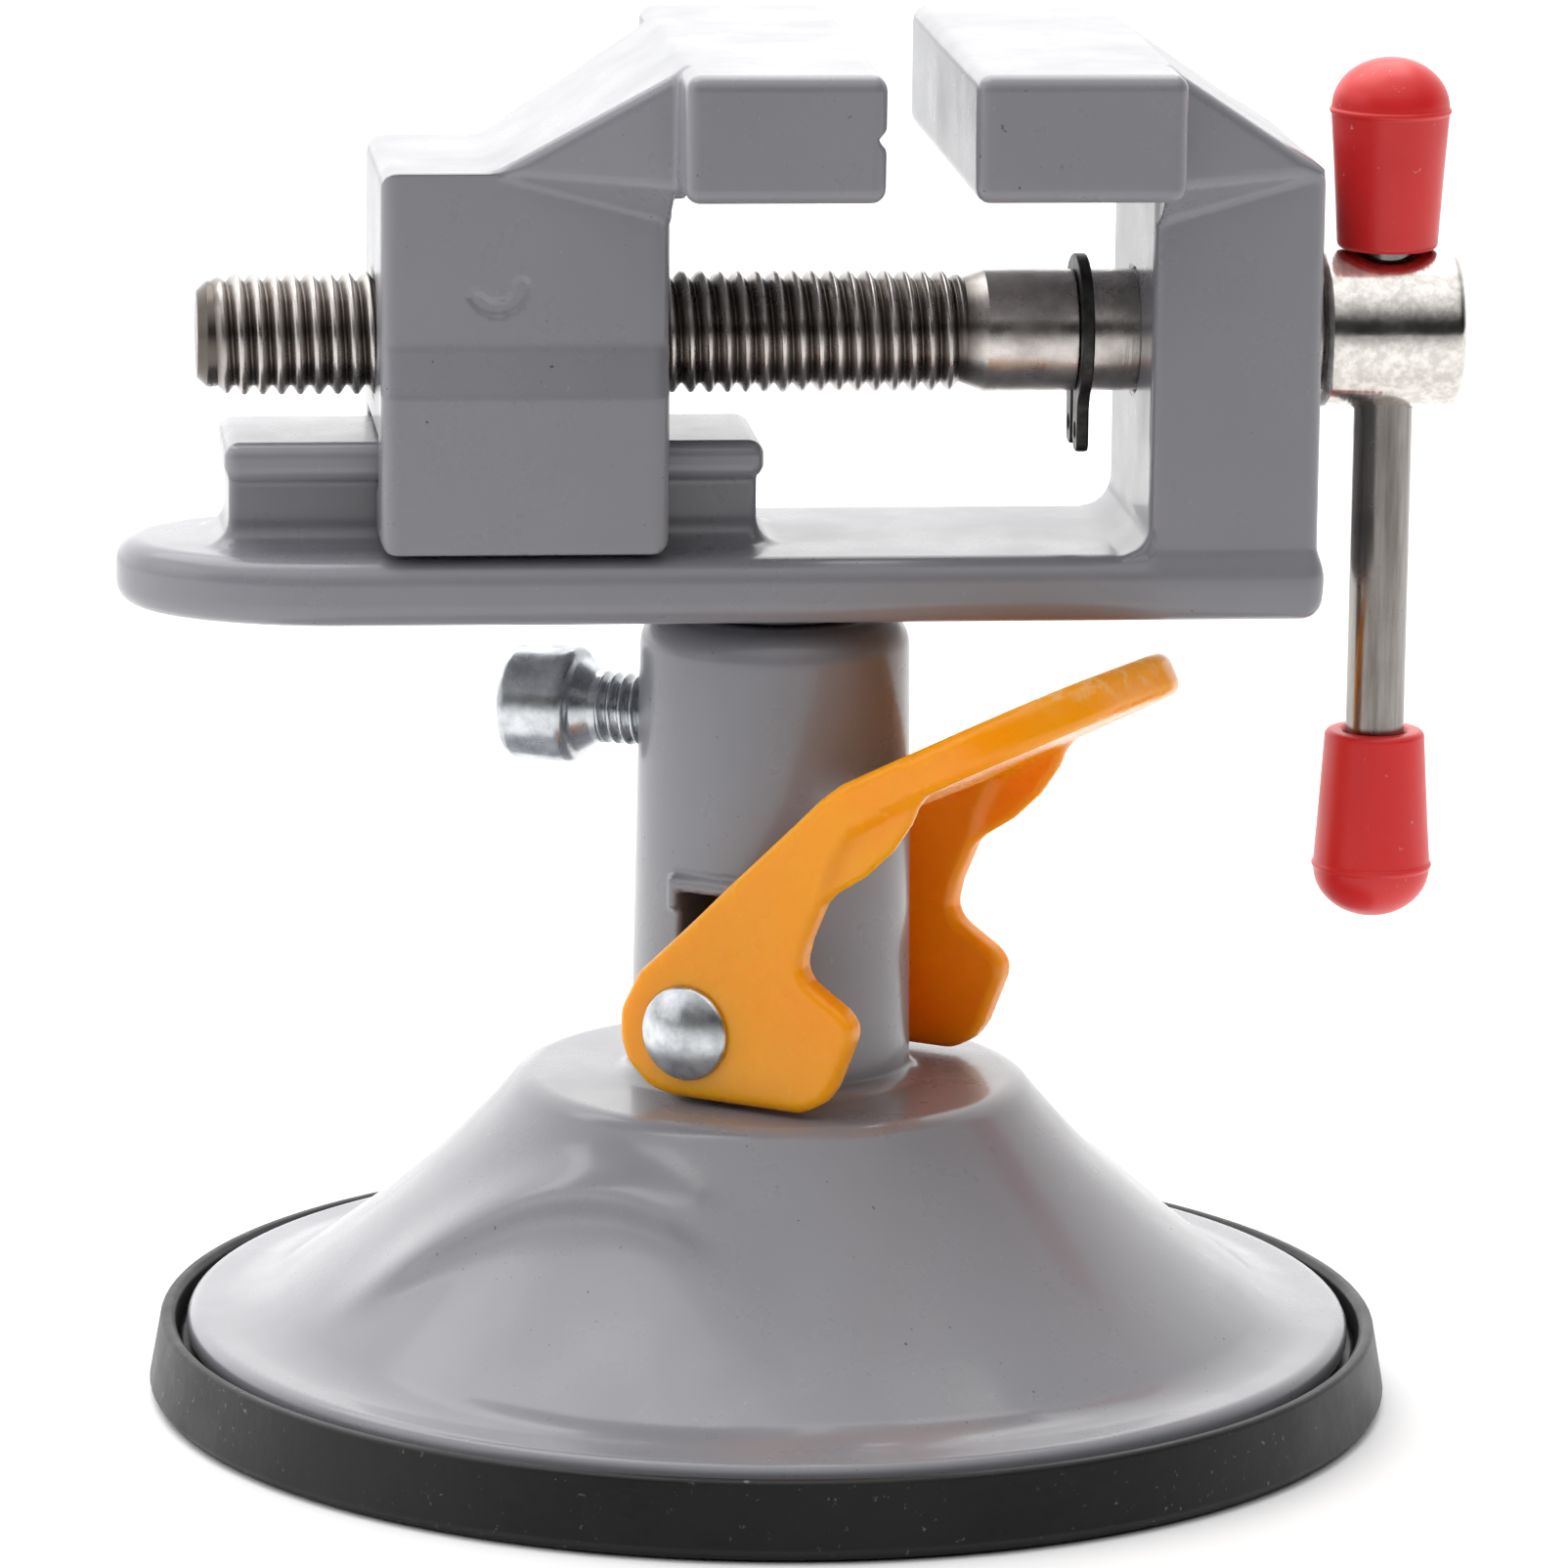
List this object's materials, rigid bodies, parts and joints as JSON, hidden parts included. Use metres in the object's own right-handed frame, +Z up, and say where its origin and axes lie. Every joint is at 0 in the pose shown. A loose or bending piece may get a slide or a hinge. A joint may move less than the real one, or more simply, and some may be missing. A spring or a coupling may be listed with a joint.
{
  "type": "pcb holder vise",
  "caption": "Small bench vise for circuit boards, on a swivelling column with a lever-operated suction base and a T-bar lead screw.",
  "frame": {"origin": "centre of the rubber cup's resting plane, on the column and swivel axis", "axes": "+X along the lead screw towards its T-bar, +Y away from the side the clamp lever's near pin head faces, +Z up along the column"},
  "size_m": [0.1088, 0.102, 0.1118],
  "materials": {
    "grey_paint": "gloss grey paint over the casting",
    "cup_rubber": "satin",
    "orange_plastic": "gloss",
    "red_caps": "satin",
    "screw_steel": "machined",
    "bar_steel": "polished",
    "zinc_plate": "satin",
    "black_steel": "phosphate",
    "plain_steel": "machined"
  },
  "bodies": {
    "base": {"dome_base": "grey_paint", "suction_cup": "cup_rubber"},
    "stem": {"cup_stem": "plain_steel", "lever_pin": "zinc_plate"},
    "lever": {"cam_lever": "orange_plastic"},
    "clamp": {"clamp_screw": "zinc_plate"},
    "head": {"vise_frame": "grey_paint"},
    "jaw": {"moving_jaw": "grey_paint"},
    "screw": {"lead_screw": "screw_steel", "circlip": "black_steel"},
    "bar": {"t_bar": "bar_steel", "cap_upper": "red_caps", "cap_lower": "red_caps"}
  },
  "joints": [
    {"name": "stem_lift", "type": "slide", "parent": "base", "child": "stem", "axis": [0, 0, 1], "range_m": [0, 0.0086], "deforming": ["suction_cup"]},
    {"name": "lever_turn", "type": "hinge", "parent": "stem", "child": "lever", "pos_m": [0, 0, 0.0327], "axis": [0.5664, 0.8241, 0], "range_deg": [0, 63]},
    {"name": "clamp_turn", "type": "hinge", "parent": "base", "child": "clamp", "pos_m": [-0.00944, 0.0046, 0.0559], "axis": [-0.8988, 0.4384, 0], "range_deg": [0, 720]},
    {"name": "head_swivel", "type": "hinge", "parent": "base", "child": "head", "pos_m": [0, 0, 0.0656], "axis": [0, 0, 1], "continuous": true},
    {"name": "jaw_slide", "type": "slide", "parent": "head", "child": "jaw", "axis": [1, 0, 0], "range_m": [-0.01401, 0.00691]},
    {"name": "screw_turn", "type": "hinge", "parent": "head", "child": "screw", "pos_m": [0.0358, 0, 0.0881], "axis": [-1, 0, 0], "range_deg": [-3360, 1656]},
    {"name": "bar_slide", "type": "slide", "parent": "screw", "child": "bar", "axis": [0, 0, 1], "range_m": [0, 0.026]}
  ],
  "couplings": [
    {"joint": "lever_turn", "follows": "stem_lift", "rad_per_m": 127.85},
    {"joint": "jaw_slide", "follows": "screw_turn", "m_per_rad": 0.00023873}
  ]
}
